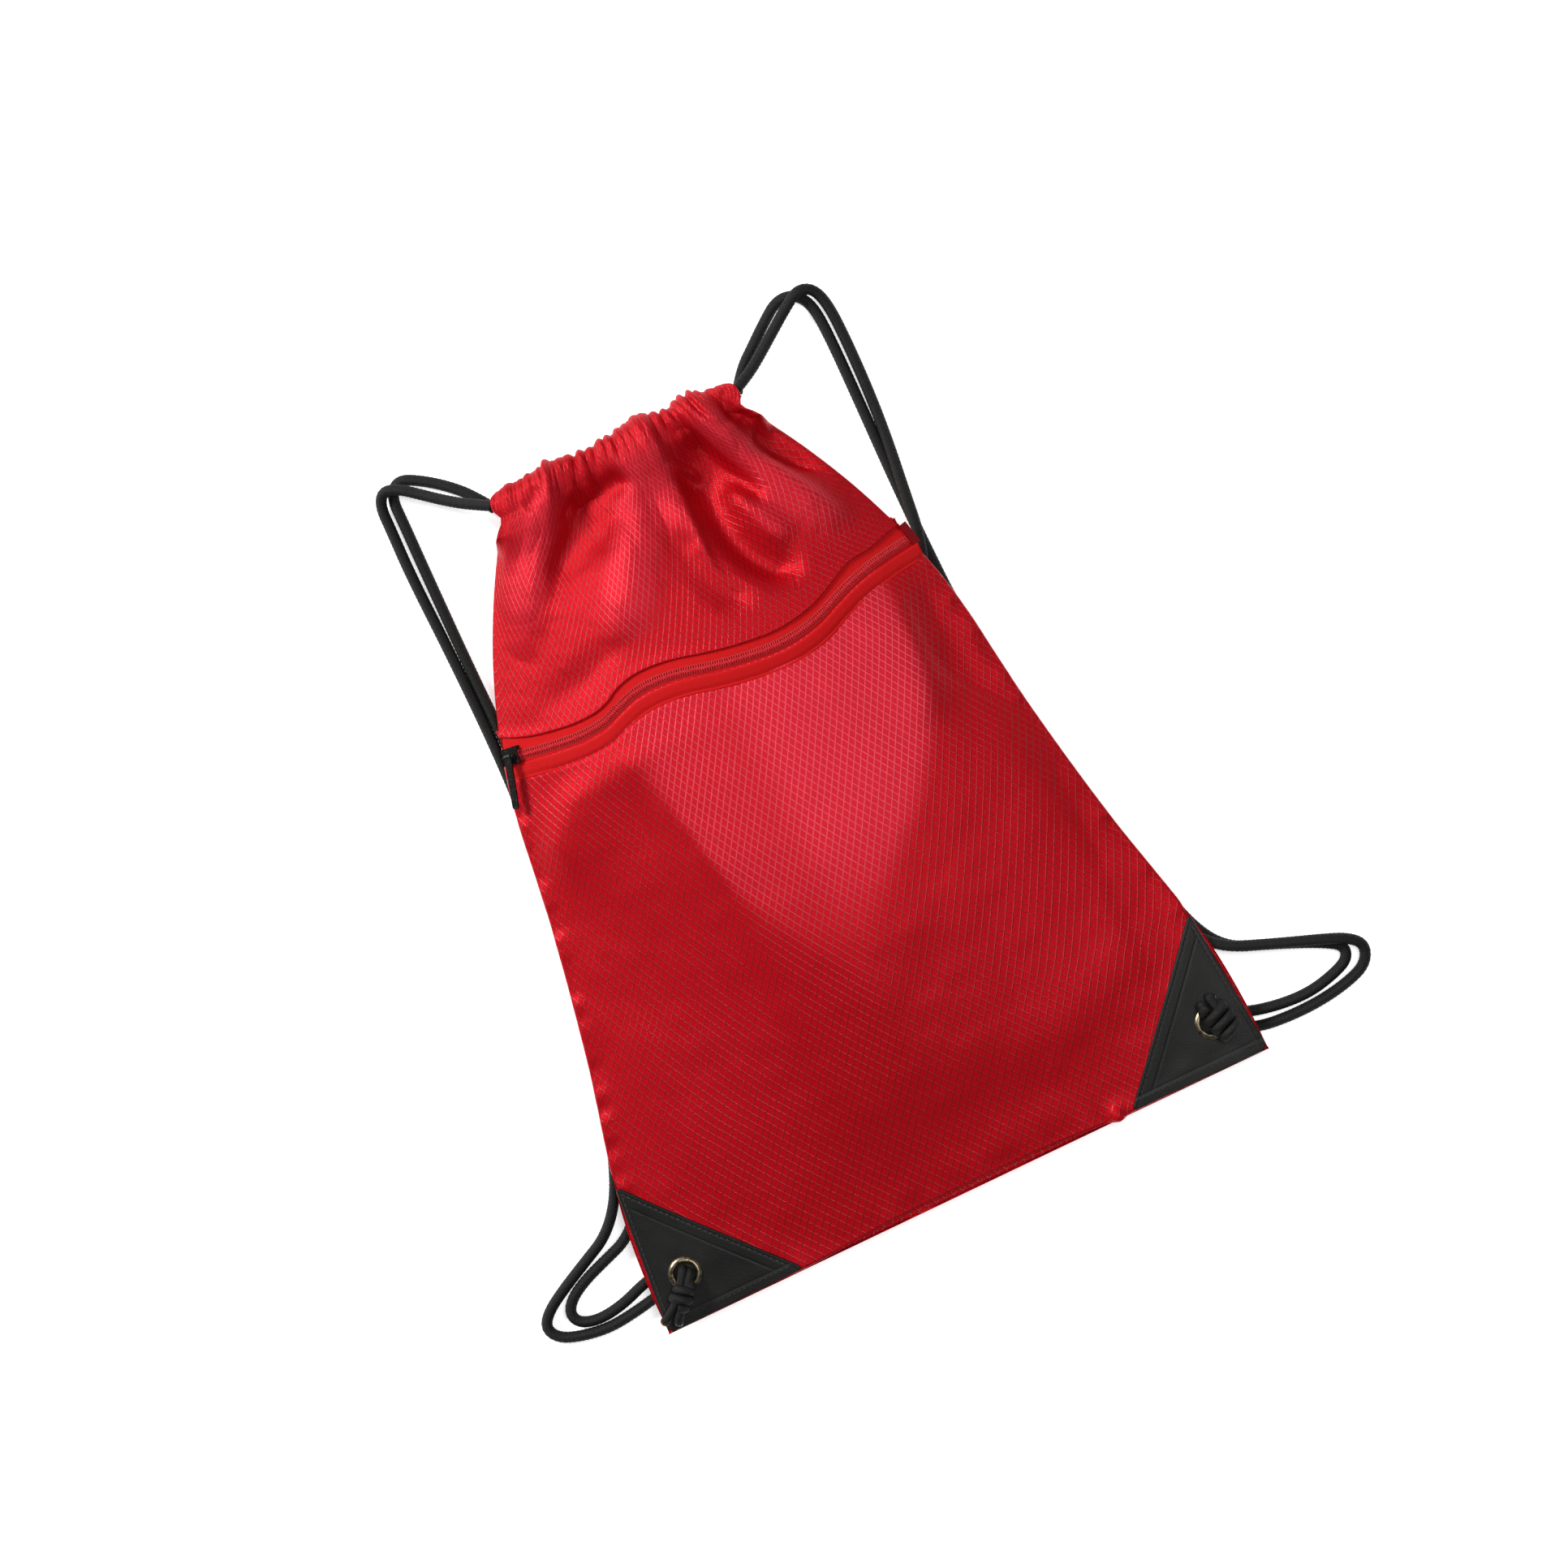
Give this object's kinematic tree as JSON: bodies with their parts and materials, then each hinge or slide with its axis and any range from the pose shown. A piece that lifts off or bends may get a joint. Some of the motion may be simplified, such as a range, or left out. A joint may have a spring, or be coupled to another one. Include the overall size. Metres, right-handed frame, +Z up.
{
  "type": "drawstring backpack",
  "caption": "Flat sack backpack lying on its back, with a gathered drawstring mouth, a curved zip pocket, corner patches with eyelets and cord shoulder loops.",
  "frame": {"origin": "on the floor, at the middle of the bag's footprint, with the bag lying on its back panel", "axes": "+X across the bag to the right as seen from the front, +Y from the bottom seam to the mouth, +Z up out of the front"},
  "size_m": [0.4902, 0.4783, 0.0472],
  "materials": {
    "red_fabric": "satin ripstop nylon",
    "lining": "matt nylon",
    "zip_tape": "woven tape",
    "zip_coil": "nylon coil",
    "corner_leather": "grained leather-look",
    "brass": "antique brass",
    "cord": "braided polyester",
    "black_metal": "black enamel",
    "label": "woven tape"
  },
  "bodies": {
    "bag": {"back_panel": "red_fabric", "front_lower_panel": "red_fabric", "front_upper_panel": "red_fabric", "pocket_lining": "lining", "casing_front": "red_fabric", "casing_back": "red_fabric", "side_label": "label", "zip_tape_upper": "zip_tape", "zip_tape_lower": "zip_tape", "zip_coil_upper": "zip_coil", "zip_coil_lower": "zip_coil", "zip_end_tab": "zip_tape", "corner_patch_front_left": "corner_leather", "corner_patch_front_right": "corner_leather", "corner_patch_back_left": "corner_leather", "corner_patch_back_right": "corner_leather", "grommet_left": "brass", "grommet_right": "brass", "grommet_washer_left": "brass", "grommet_washer_right": "brass", "cord_left_inner": "cord", "cord_left_outer": "cord", "cord_right_inner": "cord", "cord_right_outer": "cord", "cord_left_casing": "cord", "cord_right_casing": "cord", "knot_left": "cord", "knot_right": "cord"},
    "zip_slider": {"zip_slider": "black_metal"},
    "zip_pull": {"zip_puller": "black_metal"}
  },
  "joints": [
    {"name": "zip_slide", "type": "hinge", "parent": "bag", "child": "zip_slider", "pos_m": [-0.00468, 0.18492, -0.18817], "axis": [-0.0484, 0.922, 0.3842], "range_deg": [0, 54.5]},
    {"name": "puller_swing", "type": "hinge", "parent": "zip_slider", "child": "zip_pull", "pos_m": [-0.1219, 0.09337, 0.02288], "axis": [-0.8899, 0.1348, -0.4358], "range_deg": [0, 140]}
  ]
}
